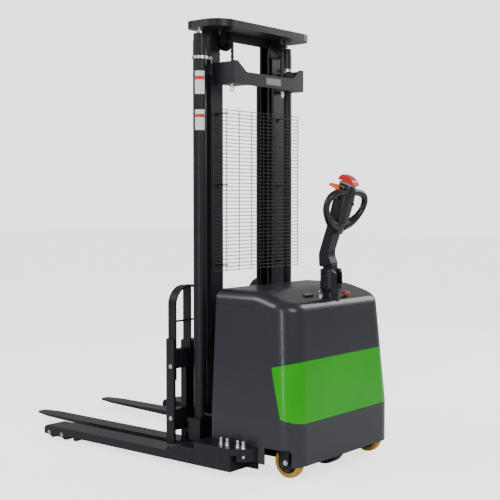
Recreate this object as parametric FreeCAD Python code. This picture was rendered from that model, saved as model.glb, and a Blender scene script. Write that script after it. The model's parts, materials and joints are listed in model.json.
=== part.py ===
import FreeCAD, Part
import math
import os

# A battery-powered walkie straddle stacker, in millimetres.
# Origin: on the floor, under the centre of the bounding box.
# +X is the operator's left, +Y points back to the operator, the forks point along -Y, +Z is up.

V = FreeCAD.Vector
X_AXIS = V(1, 0, 0)
Y_AXIS = V(0, 1, 0)
Z_AXIS = V(0, 0, 1)

datum_y = -23.5          # every y below is measured from this plane of the origin's frame

# ---- driving dimensions -------------------------------------------------
# named clearances
touch_gap = 0.3          # between curved or flat faces of parts that move past each other
shaft_gap = 0.05         # radial, a shaft in its own hole
roller_gap = 0.5         # between a mast roller and the flange that it runs on
walk_gap = 1.0           # between sliding plates

# straddle legs
leg_outer_x = 525.0
leg_width = 125.0
leg_tip_y = -635.0
leg_rear_y = 699.0
leg_bottom_z = 28.0
leg_top_z = 70.0
leg_wall = 9.0
leg_roof = 5.0
leg_heel_y = 290.0       # where the deeper rear part of the leg starts
leg_heel_top_z = 106.0
leg_nose_bottom_z = 17.0
leg_nose_length = 205.0
load_roller_radius = 32.0
load_roller_width = 84.0
load_roller_pitch = 102.0
load_roller_setback = 43.0
roller_axle_radius = 9.0

# forks
fork_length = 1178.0
fork_width = 103.0
fork_top_z = 57.0
fork_thickness = 35.0
fork_tip_thickness = 9.0
fork_shank = 36.0
fork_centre_x = 249.0
fork_heel_y = 178.0
fork_taper_length = 900.0
hook_height = 34.0
hook_setback = 8.0         # the hooks stop this far short of the bars' backs
toe_setback = 16.0

# mast
mast_front_y = 266.0
mast_depth = 118.0
mast_outer_x = 296.0
outer_flange = 90.0
outer_web = 10.0
outer_flange_t = 13.0
outer_top_z = 1973.0
outer_bottom_z = 32.0
inner_gap_x = 4.0
inner_flange = 68.0
inner_web = 8.0
inner_flange_t = 10.0
inner_gap_y = 2.5
inner_bottom_z = 150.0
cap_top_z = 2170.0
cap_thickness = 35.0
cap_half = 388.0
cap_front_y = 281.0
cap_rear_y = 522.0
cap_radius = 100.0

# lift cylinders
cylinder_x = 346.0
cylinder_y = 355.0
cylinder_radius = 34.0
cylinder_bore = 25.0
cylinder_bottom_z = 215.0
cylinder_top_z = 2110.0
rod_radius = 16.0
gland_height = 34.0
clamp_z = 1994.0

# chain and sheaves
chain_x = 204.0
chain_width = 16.0
chain_thickness = 8.0
sheave_y = 399.0
sheave_headroom = 7.0    # from a sheave's rim to the cap plate
sheave_radius = 46.0
sheave_width = 18.4
sheave_pin_radius = 12.0
sheave_groove = 5.0

# cross beam at the top of the outer mast
beam_half = 282.0
beam_rear_y = 524.0
beam_plate = 12.0
beam_bottom_z = 1863.0
beam_top_z = 1926.0
beam_ear_z = 1976.0
beam_ear_width = 27.0
beam_slope = 68.0

# wire guard
guard_half = 346.0
guard_y = 441.0
guard_bottom_z = 944.0
guard_top_z = 1743.0
guard_wire = 3.6
bracket_x = 244.0
guard_columns = 7
guard_rows = 44
bracket_heights = (972.0, 1371.0, 1725.0)

# carriage
carriage_half = 445.0
end_plate = 15.0
end_plate_front_y = 213.0
end_plate_depth = 52.0
end_plate_bottom_z = 78.0
end_plate_top_z = 607.0
bar_thickness = 40.0
upper_bar_z = (455.0, 550.0)
lower_bar_z = (145.0, 250.0)
roller_plate = 18.0
roller_plate_gap = 8.0
roller_plate_top_z = 575.0
roller_plate_bottom_z = 100.0
carriage_roller_width = 36.0
carriage_roller_z = (183.0, 505.0)
hoop_bar = 9.0
hoop_top_z = 868.0
hoop_inner_x = 190.0
hoop_radius = 96.0
hoop_post_x = 322.0
hoop_tie_z = 690.0

# body and hood
body_half = 431.0
body_front_y = 505.0
body_rear_y = 995.0
body_bottom_z = 66.0
body_side_break_z = 270.0
body_top_half = 399.0
body_top_rear_y = 955.0
body_shoulder_z = 790.0
body_top_z = 866.0
body_tail_z = 815.0
body_tail_y = 930.0
lid_rear_y = 737.0
lid_seam_z = 797.0
corner_radius = 110.0
shoulder_radius = 56.0
ridge_radius = 300.0
hood_wall = 6.0
skin = 3.0
panel_gap = 1.0
arch_front_y = 828.0
arch_rear_y = 963.0
arch_inner_x = 290.0
arch_headroom = -4.0     # from a caster's top to the arch's edge

# base frame
beam_y = (412.0, 600.0)
beam_z = (28.0, 105.0)
deck_headroom = 8.0      # from a caster's top to the deck
deck_thickness = 10.0
clamp_top_z = 138.0
gusset_bottom_z = 74.0
gusset_rear_y = 796.0
bulkhead = 7.0

# steering and drive
steer_y = 903.0
drive_wheel_radius = 100.0
drive_wheel_width = 64.0
drive_wheel_lead = 30.0  # the wheel's axle runs ahead of the steering axis
drive_wheel_bore = 15.0
swing_radius = 139.0
bridge_rise = 58.0       # the drive bridge stands on the deck
bridge_half = 158.0
neck_radius = 55.0
motor_radius = 60.0
motor_top_z = 520.0
steer_shaft_radius = 20.0
collar_radius = 37.0
collar_z = (790.0, 846.0)
turret_radius = 54.0
turret_top_z = 962.0
tilt_z = 940.0
tilt_pin_radius = 9.0
tilt_range = 62.0
crown_radius = 58.0      # the turret's rounded top, about an axis below the tilt pin
crown_drop = 30.0
arm_width = 60.0
arm_tongue = 44.0

# casters
caster_x = 334.0
caster_y = 883.0
caster_trail = 20.0
caster_radius = 75.0
caster_width = 45.0
caster_bore = 7.0
caster_stem_radius = 14.0
yoke_plate = 6.0

# tiller head, in its own leaning frame
head_y = 924.0
head_z = 1146.0
head_lean = 18.0
head_half = 176.0
grip_radius = 15.0
grip_offset = 20.0
throttle_z = 200.0
throttle_shaft = 7.0
button_radius = 7.0
button_x = 22.0

sheave_z = cap_top_z - cap_thickness - sheave_radius - sheave_headroom
arch_top_z = 2 * caster_radius + arch_headroom
deck_z = 2 * caster_radius + deck_headroom
bridge_z = deck_z + bridge_rise
mast_rear_y = mast_front_y + mast_depth
leg_inner_x = leg_outer_x - leg_width
parts = {}


# ---- helpers --------------------------------------------------------------
def box(x, y, z):
    """A box from three (low, high) pairs."""
    return Part.makeBox(x[1] - x[0], y[1] - y[0], z[1] - z[0], V(x[0], y[0], z[0]))


def rod(start, end, radius):
    """A round bar between two points."""
    start = V(*start)
    run = V(*end) - start
    return Part.makeCylinder(radius, run.Length, start, run)


def place(plane, u, v, w):
    """A point of a sketch plane, w from the origin."""
    if plane == "xy":
        return V(u, v, w)
    if plane == "yz":
        return V(w, u, v)
    return V(u, w, v)


def outline(corners, plane, w):
    """A closed wire through corners (u, v) or (u, v, radius), with its corners rounded."""
    corners = [c if len(c) == 3 else (c[0], c[1], 0.0) for c in corners]
    count = len(corners)
    ends = []
    for i, (u, v, radius) in enumerate(corners):
        here = V(u, v, 0)
        before = V(*corners[i - 1][:2], 0) - here
        after = V(*corners[(i + 1) % count][:2], 0) - here
        before.normalize()
        after.normalize()
        if radius <= 0:
            ends.append((here, None, here))
            continue
        half = before.getAngle(after) / 2
        middle = before + after
        middle.normalize()
        reach = radius / math.tan(half)
        centre = here + middle * (radius / math.sin(half))
        ends.append((here + before * reach, centre - middle * radius, here + after * reach))
    edges = []
    for i, (first, middle, last) in enumerate(ends):
        if middle is not None:
            arc = [place(plane, p.x, p.y, w) for p in (first, middle, last)]
            edges.append(Part.Arc(*arc).toShape())
        following = ends[(i + 1) % count][0]
        if (following - last).Length > 1e-6:
            run = [place(plane, p.x, p.y, w) for p in (last, following)]
            edges.append(Part.LineSegment(*run).toShape())
    return Part.Wire(edges)


def prism(corners, plane, low, high):
    """The outline, extruded from low to high at right angles to its plane."""
    direction = {"xy": Z_AXIS, "yz": X_AXIS, "xz": Y_AXIS}[plane]
    return Part.Face(outline(corners, plane, low)).extrude(direction * (high - low))


def fuse(shapes):
    """One solid from shapes that touch or overlap."""
    shapes = list(shapes)
    whole = shapes[0].fuse(shapes[1:]) if len(shapes) > 1 else shapes[0]
    return whole.removeSplitter()


def mirrored(shape):
    """The same piece on the other side of the truck."""
    return shape.mirror(V(0, 0, 0), X_AXIS)


def pair(shapes):
    """Both sides' copies of a list of pieces, as separate solids."""
    shapes = list(shapes)
    return Part.makeCompound(shapes + [mirrored(s) for s in shapes])


def bolt(x, y, z, axis, head_radius, head, shank_radius, shank):
    """A hexagon bolt: its head stands off along axis, its shank goes the other way."""
    ring = [V(head_radius * math.cos(math.radians(60 * k)), head_radius * math.sin(math.radians(60 * k)), 0)
            for k in range(7)]
    body = Part.Face(Part.makePolygon(ring)).extrude(Z_AXIS * head)
    if shank > 0:
        body = fuse([body, Part.makeCylinder(shank_radius, shank, V(0, 0, -shank))])
    body.Placement = FreeCAD.Placement(V(x, y, z), FreeCAD.Rotation(Z_AXIS, axis))
    return body


def hose(points, radius):
    """A round hose: straight runs joined by tangent arcs as large as the runs allow."""
    points = [V(*p) for p in points]
    edges = []
    last = points[0]
    smallest = None
    for before, here, after in zip(points, points[1:], points[2:]):
        back = before - here
        on = after - here
        shorter = min(back.Length, on.Length)
        back.normalize()
        on.normalize()
        reach = 0.45 * shorter
        half = back.getAngle(on) / 2
        bend = reach * math.tan(half)
        middle = back + on
        middle.normalize()
        centre = here + middle * (bend / math.sin(half))
        first = here + back * reach
        edges.append(Part.LineSegment(last, first).toShape())
        edges.append(Part.Arc(first, centre - middle * bend, here + on * reach).toShape())
        last = here + on * reach
        smallest = bend if smallest is None else min(smallest, bend)
    edges.append(Part.LineSegment(last, points[-1]).toShape())
    path = Part.Wire(edges)
    section = Part.Wire([Part.makeCircle(radius, points[0], points[1] - points[0])])
    print("hose: length", round(path.Length), "smallest bend radius", round(smallest))
    return path.makePipeShell([section], True, False)


# ---- straddle legs and their rollers ------------------------------------------
def load_roller_places():
    """The (y, z) axis of each load roller of a leg, front one first."""
    first = leg_tip_y + load_roller_setback
    return [(first, load_roller_radius), (first + load_roller_pitch, load_roller_radius)]


def straddle_leg():
    """The left leg: a box beam with an open nose for its rollers and a deeper heel."""
    wide = (leg_inner_x, leg_outer_x)
    nose_end = leg_tip_y + leg_nose_length
    beam = box(wide, (leg_tip_y + 30, leg_heel_y + 50), (leg_bottom_z, leg_top_z))
    nose = prism([(leg_tip_y, leg_nose_bottom_z + 4, 6), (leg_tip_y, leg_top_z, 26),
                  (nose_end, leg_top_z), (nose_end, leg_bottom_z), (nose_end - 40, leg_bottom_z),
                  (nose_end - 55, leg_nose_bottom_z, 8)], "yz", *wide)
    heel = prism([(leg_heel_y, leg_top_z - 20), (leg_heel_y, leg_top_z),
                  (leg_heel_y + 60, leg_heel_top_z, 20),
                  (leg_rear_y, leg_heel_top_z), (leg_rear_y, leg_bottom_z), (leg_heel_y, leg_bottom_z)],
                 "yz", *wide)
    leg = fuse([beam, nose, heel])
    inside = (leg_inner_x + leg_wall, leg_outer_x - leg_wall)
    bay = box(inside, (leg_tip_y + leg_roof, nose_end - leg_roof), (0, leg_top_z - leg_roof))
    hollow = box(inside, (nose_end, leg_rear_y - leg_wall), (leg_bottom_z + leg_roof, leg_top_z - leg_roof))
    leg = leg.cut(bay).cut(hollow)
    for y, z in load_roller_places():
        leg = leg.cut(rod((leg_inner_x - 1, y, z), (leg_outer_x + 1, y, z), roller_axle_radius))
    skid = prism([(nose_end + 4, leg_bottom_z), (nose_end + 12, leg_bottom_z - 22, 6),
                  (nose_end + 36, leg_bottom_z - 22, 6), (nose_end + 44, leg_bottom_z)],
                 "yz", leg_inner_x + 20, leg_outer_x - 20)
    for x, y in clamp_bolt_places():
        leg = leg.cut(rod((x, y, leg_heel_top_z - 40), (x, y, leg_heel_top_z + 1), 9.0))
    return fuse([leg, skid])


def leg_middle_x():
    return (leg_inner_x + leg_outer_x) / 2


def load_roller(y, z):
    """A polyurethane load roller with a bore for its axle."""
    low = leg_middle_x() - load_roller_width / 2
    body = rod((low, y, z), (low + load_roller_width, y, z), load_roller_radius)
    rim = [e for e in body.Edges if len(e.Vertexes) == 1]
    body = body.makeFillet(4.0, rim)
    return body.cut(rod((low - 1, y, z), (low + load_roller_width + 1, y, z),
                        roller_axle_radius + shaft_gap))


def load_roller_axles():
    """Four axles, each with a low round head outside the leg."""
    axles = []
    for y, z in load_roller_places():
        shaft = rod((leg_inner_x, y, z), (leg_outer_x, y, z), roller_axle_radius)
        head = rod((leg_outer_x, y, z), (leg_outer_x + 3, y, z), roller_axle_radius + 4)
        axles.append(fuse([shaft, head]))
    return pair(axles)


# ---- base frame -------------------------------------------------------------
def clamp_bolt_places():
    return [(leg_inner_x + 78.0, y) for y in (606.0, 644.0, 709.0, 742.0)]


def base_frame():
    """The welded base: front beam, leg clamps, deck, side rails, bulkhead and cylinder feet."""
    beam = box((-leg_inner_x, leg_inner_x), beam_y, beam_z)
    beam = beam.cut(box((-leg_inner_x + 14, leg_inner_x - 14), (beam_y[0] + 10, beam_y[1] - 10),
                        (beam_z[0] + 10, beam_z[1] - 10)))
    deck = prism([(-body_half + 26, beam_y[1] - 30), (body_half - 26, beam_y[1] - 30),
                  (body_half - 26, body_rear_y - 26, corner_radius - 20),
                  (-body_half + 26, body_rear_y - 26,
                   corner_radius - 20)], "xy", deck_z, deck_z + deck_thickness)
    deck = deck.cut(rod((0, steer_y, deck_z - 1), (0, steer_y, deck_z + 40), swing_radius))
    bridge = box((-bridge_half, bridge_half), (795, 980), (bridge_z, bridge_z + 10))
    bridge = bridge.cut(rod((0, steer_y, bridge_z - 1), (0, steer_y, bridge_z + 20),
                            neck_radius + touch_gap))
    shapes = [beam, deck, bridge]
    left = []
    left.append(box((bridge_half - 12, bridge_half), (770, 960), (deck_z, bridge_z + 1)))
    left.append(box((leg_inner_x - 14, leg_inner_x), (beam_y[1] - 40, 760.0), (beam_z[0], deck_z)))
    left.append(box((150, 162), (beam_y[1] - 12, 722.0), (beam_z[0], deck_z)))
    left.append(prism([(300, 455, 14), (leg_outer_x, 455, 30), (leg_outer_x, leg_rear_y + 6, 30),
                       (468, 768, 60), (leg_inner_x - 14, gusset_rear_y), (leg_inner_x - 14, beam_y[1]),
                       (300, beam_y[1])], "xy", leg_heel_top_z, clamp_top_z))
    left.append(prism([(leg_inner_x - 14, leg_rear_y + 1), (leg_outer_x - 22, leg_rear_y + 1, 12),
                       (468, 762, 60), (leg_inner_x - 14,
                                        gusset_rear_y)], "xy", gusset_bottom_z, leg_heel_top_z + 1))
    foot_x = (mast_outer_x, leg_inner_x)
    left.append(box(foot_x, (mast_rear_y - 70, mast_rear_y + 2),
                    (cylinder_bottom_z - 18, cylinder_bottom_z)))
    left.append(box((leg_inner_x - 12, leg_inner_x), (mast_rear_y - 62, mast_rear_y + 4),
                    (leg_heel_top_z, cylinder_bottom_z)))
    left.append(box(foot_x, (mast_rear_y + 2, mast_rear_y + 14), (beam_z[0], cylinder_bottom_z)))
    left.append(box((mast_outer_x + 2, leg_inner_x - 12), (mast_rear_y + 2, body_front_y - bulkhead - 1),
                    (105, 115)))
    shapes += left + [mirrored(s) for s in left]
    wall = prism([(-body_half + 8, 140), (-body_top_half + 8, lid_seam_z - 8, 12),
                  (body_top_half - 8, lid_seam_z - 8, 12), (body_half - 8, 140)],
                 "xz", body_front_y - bulkhead - 1, body_front_y - 1)
    shapes.append(wall)
    shapes.append(box((-leg_inner_x + 14, leg_inner_x - 14), (body_front_y - bulkhead - 1, body_front_y - 1),
                      (100, 142)))
    frame = fuse(shapes)
    for x, y in clamp_bolt_places():
        for side in (-1, 1):
            frame = frame.cut(rod((side * x, y, 90), (side * x, y, clamp_top_z + 1), 8.0))
    for side in (-1, 1):
        hole = rod((side * caster_x, caster_y, deck_z - 1), (side * caster_x, caster_y, deck_z + 20),
                   caster_stem_radius)
        frame = frame.cut(hole)
        x = sorted(side * x for x in hose_port_x)
        frame = frame.cut(box(x, (body_front_y - 10, body_front_y), (228, 262)))
    return frame


def leg_clamp_bolts():
    """Upright studs that clamp the legs: a washer, a hexagon nut and the stud's end on each."""
    studs = []
    for x, y in clamp_bolt_places():
        washer = rod((x, y, clamp_top_z), (x, y, clamp_top_z + 3), 15.0)
        nut = bolt(x, y, clamp_top_z + 3, Z_AXIS, 12.5, 13.0, 8.0, clamp_top_z + 3 - 92)
        end = rod((x, y, clamp_top_z + 15), (x, y, clamp_top_z + 36), 8.0)
        studs.append(fuse([washer, nut, end]))
    return pair(studs)


# ---- mast -------------------------------------------------------------------
def channel(outer_x, flange, web, flange_t, y, z):
    """A mast channel that is open towards the middle of the truck."""
    body = box((outer_x - flange, outer_x), y, z)
    bay = box((outer_x - flange - 1, outer_x - web), (y[0] + flange_t, y[1] - flange_t),
              (z[0] - 1, z[1] + 1))
    return body.cut(bay)


inner_outer_x = mast_outer_x - outer_web - inner_gap_x
inner_y = (mast_front_y + outer_flange_t + inner_gap_y, mast_rear_y - outer_flange_t - inner_gap_y)
inner_top_z = cap_top_z - cap_thickness
channel_y = (mast_front_y + mast_rear_y) / 2
inner_tip_x = inner_outer_x - inner_flange


def outer_mast():
    """The left outer channel, with a foot plate at its bottom."""
    rail = channel(mast_outer_x, outer_flange, outer_web, outer_flange_t, (mast_front_y, mast_rear_y),
                   (outer_bottom_z, outer_top_z))
    foot = box((mast_outer_x - outer_flange, mast_outer_x), (mast_rear_y, beam_y[0]),
               (outer_bottom_z, 190.0))
    return fuse([rail, foot])


def inner_mast():
    """The inner mast: two channels with foot plates, welded to a lower tie."""
    rail = channel(inner_outer_x, inner_flange, inner_web, inner_flange_t, inner_y,
                   (inner_bottom_z, inner_top_z))
    plate = prism([(channel_y - 26, inner_bottom_z + 1), (channel_y - 26, 62, 24), (channel_y + 26, 62, 24),
                   (channel_y + 26, inner_bottom_z + 1)], "yz", inner_outer_x - inner_web, inner_outer_x)
    low = inner_outer_x - inner_web - mast_roller_width - 2
    stub = rod((low, channel_y, mast_roller_z), (inner_outer_x - 1, channel_y, mast_roller_z),
               mast_stub_radius)
    tie = box((-inner_tip_x, inner_tip_x), (inner_y[1] - inner_flange_t, inner_y[1]),
              (inner_bottom_z, inner_bottom_z + 130))
    pieces = [rail, plate, stub]
    return fuse(pieces + [mirrored(piece) for piece in pieces] + [tie])


mast_roller_width = 36.0
mast_roller_z = 98.0
mast_stub_radius = 14.0
mast_roller_radius = (mast_depth - 2 * outer_flange_t) / 2 - roller_gap


def roller(x0, x1, y, z, radius, bore):
    """A steel roller with softened rims, on an axis along X."""
    body = rod((x0, y, z), (x1, y, z), radius)
    body = body.makeFillet(3.0, [e for e in body.Edges if len(e.Vertexes) == 1])
    return body.cut(rod((x0 - 1, y, z), (x1 + 1, y, z), bore))


def mast_rollers():
    """The two foot rollers of the inner mast, on one axis."""
    high = inner_outer_x - inner_web - 1
    return pair([roller(high - mast_roller_width, high, channel_y, mast_roller_z, mast_roller_radius,
                        mast_stub_radius + shaft_gap)])


def mast_guide_pads():
    """Four thin slide pads at the top of the outer channels."""
    pads = []
    for y in ((mast_front_y + outer_flange_t, inner_y[0] - touch_gap),
              (inner_y[1] + touch_gap, mast_rear_y - outer_flange_t)):
        pads.append(box((inner_tip_x + 6, inner_outer_x - 10), y, (outer_top_z - 150, outer_top_z - 10)))
    return pair(pads)


def mast_crossbeam():
    """The beam behind the outer mast: a rear plate with ears, side plates and the chain shelf."""
    ear = beam_half - beam_ear_width
    half = [(beam_half, beam_bottom_z, 5), (beam_half, beam_ear_z, 5), (ear, beam_ear_z, 8),
            (ear - beam_slope, beam_top_z, 20)]
    other = [(-x, z, r) for x, z, r in reversed(half)]
    plate = prism(half + other, "xz", beam_rear_y - beam_plate, beam_rear_y)
    shapes = [plate]
    side = box((beam_half - beam_plate, beam_half), (mast_rear_y, beam_rear_y - 1),
               (beam_bottom_z, beam_ear_z - 4))
    shelf = box((chain_x - 38, beam_half - 1), (chain_y_rear() - 22, beam_rear_y - 1),
                (beam_bottom_z, beam_bottom_z + 14))
    for shape in (side, shelf):
        shapes += [shape, mirrored(shape)]
    beam = fuse(shapes)
    for side in (-1, 1):
        beam = beam.cut(rod((side * chain_x, chain_y_rear(), beam_bottom_z - 1),
                            (side * chain_x, chain_y_rear(), beam_bottom_z + 20), 6.0))
    return beam


def chain_y_rear():
    return sheave_y + sheave_radius - sheave_groove + chain_thickness / 2


def chain_y_front():
    return sheave_y - sheave_radius + sheave_groove - chain_thickness / 2


def chain_anchor_bolts():
    """The threaded chain ends: a clevis block above each shelf, nuts and thread below it."""
    y = chain_y_rear()
    block = box((chain_x - 12, chain_x + 12), (y - 9, y + 9), (beam_bottom_z + 14, beam_bottom_z + 44))
    stem = rod((chain_x, y, beam_bottom_z - 30), (chain_x, y, beam_bottom_z + 16), 6.0)
    nuts = [bolt(chain_x, y, z, Z_AXIS, 11.0, 9.0, 6.0, 0) for z in (beam_bottom_z - 9, beam_bottom_z - 20)]
    return pair([fuse([block, stem] + nuts)])


def mast_top_plate():
    """The cap of the inner mast: a heavy plate with a rib, two sheave cheeks and their pins."""
    corners = [(cap_half, cap_front_y, cap_radius - 40), (cap_half, cap_rear_y, cap_radius),
               (-cap_half, cap_rear_y, cap_radius), (-cap_half, cap_front_y, cap_radius - 40)]
    plate = prism(corners, "xy", inner_top_z, cap_top_z)
    inboard = chain_x - sheave_width / 2 - 6
    rib = box((-inboard + 4, inboard - 4), (inner_y[1] - inner_flange_t, inner_y[1]),
              (inner_top_z - 40, inner_top_z))
    cheek_x = (inner_tip_x + touch_gap + 1, inner_tip_x + 12)
    cheek = prism([(sheave_y - 15, inner_top_z + 1), (sheave_y - 15, sheave_z - 6, 8),
                   (sheave_y, sheave_z - 20, 14),
                   (sheave_y + 15, sheave_z - 6, 8), (sheave_y + 15, inner_top_z + 1)], "yz", *cheek_x)
    pin = rod((inboard + 2, sheave_y, sheave_z), (cheek_x[1] + 4, sheave_y, sheave_z), sheave_pin_radius)
    hub = rod((cheek_x[1], sheave_y, sheave_z), (cheek_x[1] + 4, sheave_y, sheave_z), sheave_pin_radius + 10)
    left = [cheek, pin, hub]
    return fuse([plate, rib] + left + [mirrored(piece) for piece in left])


def sheave():
    """The left chain sheave: a rim with a shallow groove between two flanges."""
    low = chain_x - sheave_width / 2
    body = rod((low, sheave_y, sheave_z), (low + sheave_width, sheave_y, sheave_z), sheave_radius)
    groove = rod((chain_x - chain_width / 2 - 0.5, sheave_y, sheave_z),
                 (chain_x + chain_width / 2 + 0.5, sheave_y, sheave_z), sheave_radius + 1)
    core = rod((low, sheave_y, sheave_z), (low + sheave_width, sheave_y, sheave_z),
               sheave_radius - sheave_groove - 0.4)
    body = body.cut(groove.cut(core))
    return body.cut(rod((low - 1, sheave_y, sheave_z), (low + sheave_width + 1, sheave_y, sheave_z),
                        sheave_pin_radius + shaft_gap))


def chain_strap(y):
    return (chain_x - chain_width / 2, chain_x + chain_width / 2), (y - chain_thickness / 2,
                                                                    y + chain_thickness / 2)


def chain_rear():
    """The strands between the cross beam's anchors and the sheaves."""
    x, y = chain_strap(chain_y_rear())
    return pair([box(x, y, (beam_bottom_z + 44, sheave_z))])


def chain_front():
    """The wraps over the sheaves and the strands that run down to the carriage."""
    x, y = chain_strap(chain_y_front())
    strand = box(x, y, (roller_plate_top_z, sheave_z))
    inside = sheave_radius - sheave_groove
    wrap = rod((x[0], sheave_y, sheave_z), (x[1], sheave_y, sheave_z), inside + chain_thickness)
    wrap = wrap.cut(rod((x[0] - 1, sheave_y, sheave_z), (x[1] + 1, sheave_y, sheave_z), inside))
    wrap = wrap.common(box(x, (sheave_y - 100, sheave_y + 100), (sheave_z, sheave_z + 100)))
    return pair([fuse([strand, wrap])])


# ---- lift cylinders ----------------------------------------------------------
def lift_cylinder():
    """The left barrel with its bore, closed at the foot, with the gland at its head."""
    low = (cylinder_x, cylinder_y, cylinder_bottom_z)
    body = rod(low, (cylinder_x, cylinder_y, cylinder_top_z - gland_height), cylinder_radius)
    head = rod((cylinder_x, cylinder_y, cylinder_top_z - gland_height),
               (cylinder_x, cylinder_y, cylinder_top_z), cylinder_radius - 2)
    body = fuse([body, head])
    body = body.cut(rod((cylinder_x, cylinder_y, cylinder_bottom_z + 16),
                        (cylinder_x, cylinder_y, cylinder_top_z - gland_height), cylinder_bore))
    body = body.cut(rod((cylinder_x, cylinder_y, cylinder_top_z - gland_height - 1),
                        (cylinder_x, cylinder_y, cylinder_top_z + 1), rod_radius + shaft_gap))
    inlet = rod((cylinder_x, cylinder_y, cylinder_bottom_z + 22),
                (cylinder_x + 13, cylinder_y + cylinder_radius + 14, cylinder_bottom_z + 22), 9.0)
    bore = rod((cylinder_x, cylinder_y, cylinder_bottom_z + 16),
               (cylinder_x, cylinder_y, cylinder_top_z - gland_height), cylinder_bore)
    return fuse([body, inlet.cut(bore)])


def piston_rod():
    """The left rod with its piston; the rod's top carries the cap plate."""
    shaft = rod((cylinder_x, cylinder_y, cylinder_bottom_z + 40), (cylinder_x, cylinder_y, inner_top_z),
                rod_radius)
    piston = rod((cylinder_x, cylinder_y, cylinder_bottom_z + 24),
                 (cylinder_x, cylinder_y, cylinder_bottom_z + 60),
                 cylinder_bore - shaft_gap)
    return fuse([shaft, piston])


def cylinder_clamps():
    """Steel straps that hold the barrel heads to the outer mast."""
    ring = rod((cylinder_x, cylinder_y, clamp_z - 8), (cylinder_x, cylinder_y, clamp_z + 6),
               cylinder_radius + 5)
    ring = ring.cut(rod((cylinder_x, cylinder_y, clamp_z - 9), (cylinder_x, cylinder_y, clamp_z + 7),
                        cylinder_radius))
    tab = box((mast_outer_x, cylinder_x - 30), (cylinder_y + 8, mast_rear_y + 6), (clamp_z - 8, clamp_z + 6))
    hanger = box((mast_outer_x, mast_outer_x + 5), (cylinder_y + 8, mast_rear_y + 6),
                 (outer_top_z - 60, clamp_z - 7))
    screw = bolt(mast_outer_x + 9, mast_rear_y + 6, clamp_z - 1, Y_AXIS, 6.5, 6.0, 3.0, 0)
    barrel = rod((cylinder_x, cylinder_y, clamp_z - 30), (cylinder_x, cylinder_y, clamp_z + 30),
                 cylinder_radius)
    return pair([fuse([ring, tab.cut(barrel), hanger.cut(barrel), screw])])


# ---- wire guard ---------------------------------------------------------------
def wire_guard():
    """A welded mesh with rectangular windows, on stand-off brackets from the mast."""
    y0 = guard_y - guard_wire / 2
    face = Part.Face(outline([(-guard_half, guard_bottom_z), (guard_half, guard_bottom_z),
                              (guard_half, guard_top_z), (-guard_half, guard_top_z)], "xz", y0))
    step_x = (2 * guard_half - guard_wire) / guard_columns
    step_z = (guard_top_z - guard_bottom_z - guard_wire) / guard_rows
    windows = []
    for column in range(guard_columns):
        x0 = -guard_half + guard_wire + column * step_x
        x1 = x0 + step_x - guard_wire
        for row in range(guard_rows):
            z0 = guard_bottom_z + guard_wire + row * step_z
            z1 = z0 + step_z - guard_wire
            windows.append(outline([(x0, z0), (x1, z0), (x1, z1), (x0, z1)], "xz", y0))
    outer = face.OuterWire
    holes = []
    for window in windows:
        window.reverse()
        holes.append(window)
    lattice = Part.Face([outer] + holes)
    lattice.validate()
    pieces = [lattice.extrude(Y_AXIS * guard_wire)]
    for z in bracket_heights:
        arm = box((bracket_x - 9, bracket_x + 9), (mast_rear_y, guard_y + guard_wire / 2), (z - 3, z + 3))
        lip = box((bracket_x - 9, bracket_x + 9), (mast_rear_y, mast_rear_y + 4), (z - 16, z + 3))
        bracket = fuse([arm, lip])
        pieces += [bracket, mirrored(bracket)]
    return fuse(pieces)


# ---- carriage and forks -----------------------------------------------------------
bar_y = (fork_heel_y + fork_shank + walk_gap, fork_heel_y + fork_shank + walk_gap + bar_thickness)
roller_plate_x = (inner_tip_x - roller_plate_gap - roller_plate, inner_tip_x - roller_plate_gap)
carriage_roller_radius = (inner_y[1] - inner_y[0]) / 2 - inner_flange_t - roller_gap


def carriage_frame():
    """The carriage: two fork bars, two roller plates, two end plates and the chain lugs."""
    shapes = []
    for low, high in (upper_bar_z, lower_bar_z):
        shapes.append(box((-carriage_half + end_plate, carriage_half - end_plate), bar_y, (low, high)))
    end = prism([(end_plate_front_y, end_plate_bottom_z, 8), (end_plate_front_y, end_plate_top_z, 6),
                 (end_plate_front_y + end_plate_depth, end_plate_top_z, 6),
                 (end_plate_front_y + end_plate_depth, end_plate_bottom_z, 8)],
                "yz", carriage_half - end_plate, carriage_half)
    hook_y = bar_y[1] - hook_setback + walk_gap
    toe_y = bar_y[1] - toe_setback + walk_gap
    plate = prism([(bar_y[0] + 4, lower_bar_z[0] + 1), (bar_y[0] + 4, upper_bar_z[1] - 1),
                   (hook_y, upper_bar_z[1] - 1), (hook_y, roller_plate_top_z, 8),
                   (channel_y + 30, roller_plate_top_z, 20), (channel_y + 30, roller_plate_bottom_z, 30),
                   (bar_y[1] + 10, roller_plate_bottom_z, 20), (toe_y, lower_bar_z[0] + 1)],
                  "yz", *roller_plate_x)
    lug = box((roller_plate_x[0] + 1, chain_x + 7), (chain_y_front() - 12, chain_y_front() + 12),
              (roller_plate_top_z - 60, roller_plate_top_z))
    left = [end, plate, lug]
    for z in carriage_roller_z:
        stub = rod((roller_plate_x[1] - 1, channel_y, z),
                   (roller_plate_x[1] + carriage_roller_width + 12, channel_y, z), 12.0)
        left.append(stub)
    shapes += left + [mirrored(s) for s in left]
    frame = fuse(shapes)
    for z in (sum(upper_bar_z) / 2 - 33, sum(lower_bar_z) / 2 + 12):
        for side in (-1, 1):
            y = end_plate_front_y + end_plate_depth - 14
            frame = frame.cut(rod((side * (carriage_half - end_plate - 1), y, z),
                                  (side * (carriage_half + 1), y, z), 8.0))
    return frame


def carriage_rollers(z):
    """The left and right rollers on one axis across the carriage."""
    low = roller_plate_x[1] + 10
    return pair([roller(low, low + carriage_roller_width, channel_y, z, carriage_roller_radius,
                        12.0 + shaft_gap)])


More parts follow.
